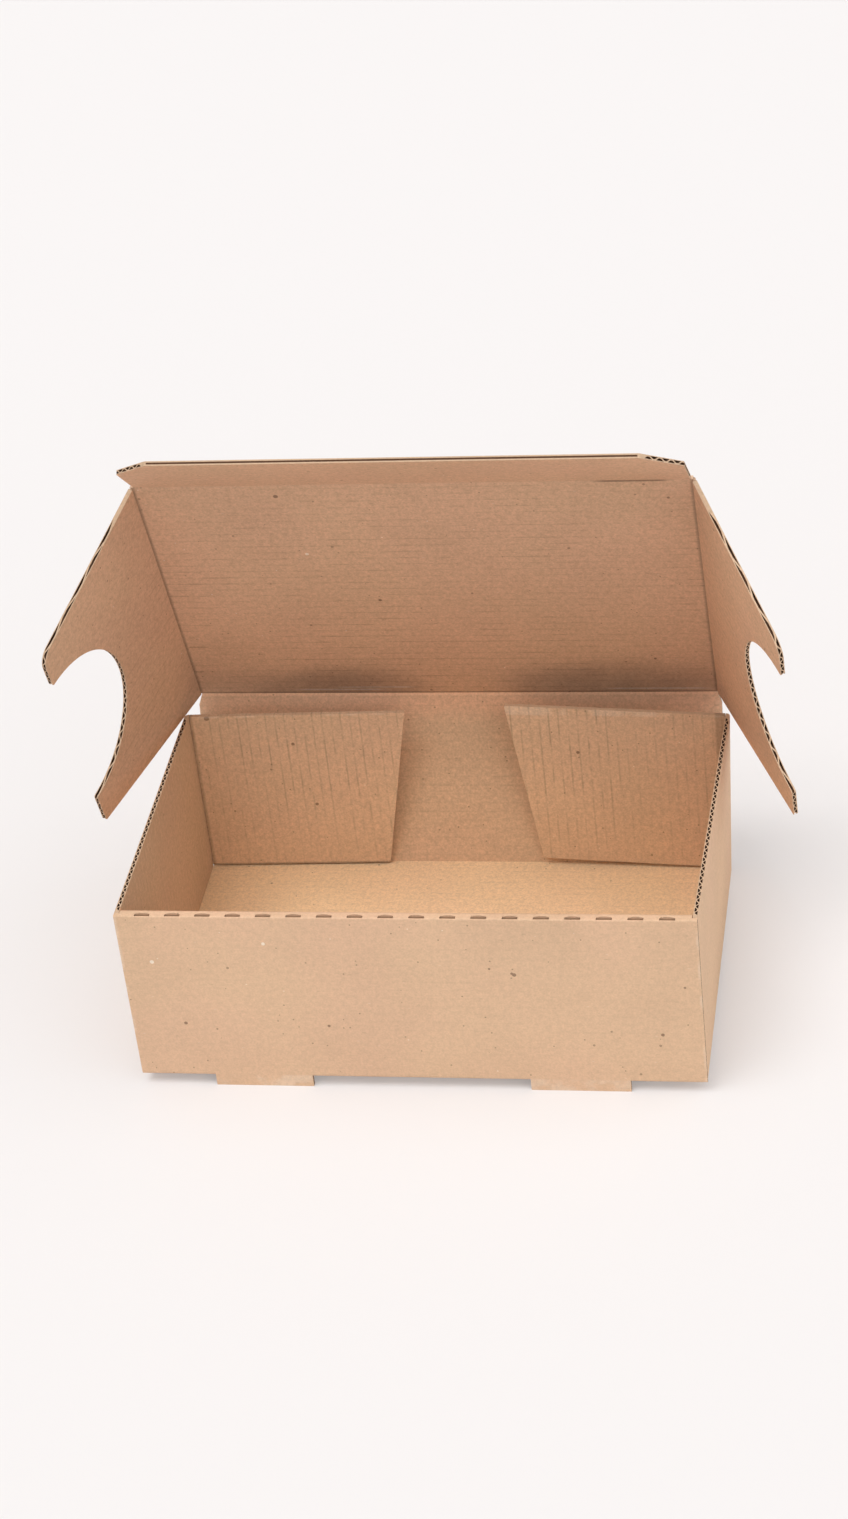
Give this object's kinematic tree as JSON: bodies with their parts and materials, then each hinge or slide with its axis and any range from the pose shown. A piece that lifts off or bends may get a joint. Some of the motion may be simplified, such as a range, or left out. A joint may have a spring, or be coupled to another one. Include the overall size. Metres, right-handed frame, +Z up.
{
  "type": "burger box",
  "caption": "Open take-away box folded from one sheet of kraft corrugated board: low tray with a rolled front wall, hinged lid with a tuck flap and side wings with half-moon cut-outs",
  "frame": {"origin": "middle of the floor's underside, between the front wall's outer face and the side walls' rear ends; the feet reach 3.7 mm below it", "axes": "+X to the right seen from the front, +Y to the back wall and lid hinge, +Z up out of the tray"},
  "size_m": [0.2352, 0.1315, 0.1992],
  "materials": {
    "kraft_board": "uncoated brown kraft liner, matt"
  },
  "bodies": {
    "tray": {"tray": "kraft_board"},
    "lid": {"lid_panel": "kraft_board"},
    "tuck_flap": {"lid_front_flap": "kraft_board"},
    "left_wing": {"lid_wing_left": "kraft_board"},
    "right_wing": {"lid_wing_right": "kraft_board"},
    "left_rear_flap": {"rear_flap_left": "kraft_board"},
    "right_rear_flap": {"rear_flap_right": "kraft_board"}
  },
  "joints": [
    {"name": "lid_fold", "type": "hinge", "parent": "tray", "child": "lid", "pos_m": [0, 0.07279, 0.06471], "axis": [1, 0, 0], "range_deg": [-110, 14]},
    {"name": "tuck_fold", "type": "hinge", "parent": "lid", "child": "tuck_flap", "pos_m": [0, 0.03214, 0.17229], "axis": [1, 0, 0], "range_deg": [-28, 60]},
    {"name": "left_wing_fold", "type": "hinge", "parent": "lid", "child": "left_wing", "pos_m": [-0.09105, 0.07279, 0.06471], "axis": [0, -0.3535, 0.9354], "range_deg": [-65, 4]},
    {"name": "right_wing_fold", "type": "hinge", "parent": "lid", "child": "right_wing", "pos_m": [0.09105, 0.07279, 0.06471], "axis": [0, 0.3535, -0.9354], "range_deg": [-60, 1.5]},
    {"name": "left_rear_fold", "type": "hinge", "parent": "tray", "child": "left_rear_flap", "pos_m": [-0.092, 0.05575, 0.0015], "axis": [0, 0, -1], "range_deg": [0, 85]},
    {"name": "right_rear_fold", "type": "hinge", "parent": "tray", "child": "right_rear_flap", "pos_m": [0.09206, 0.05575, 0.00156], "axis": [0.0384, 0, 0.9993], "range_deg": [0, 85]}
  ]
}
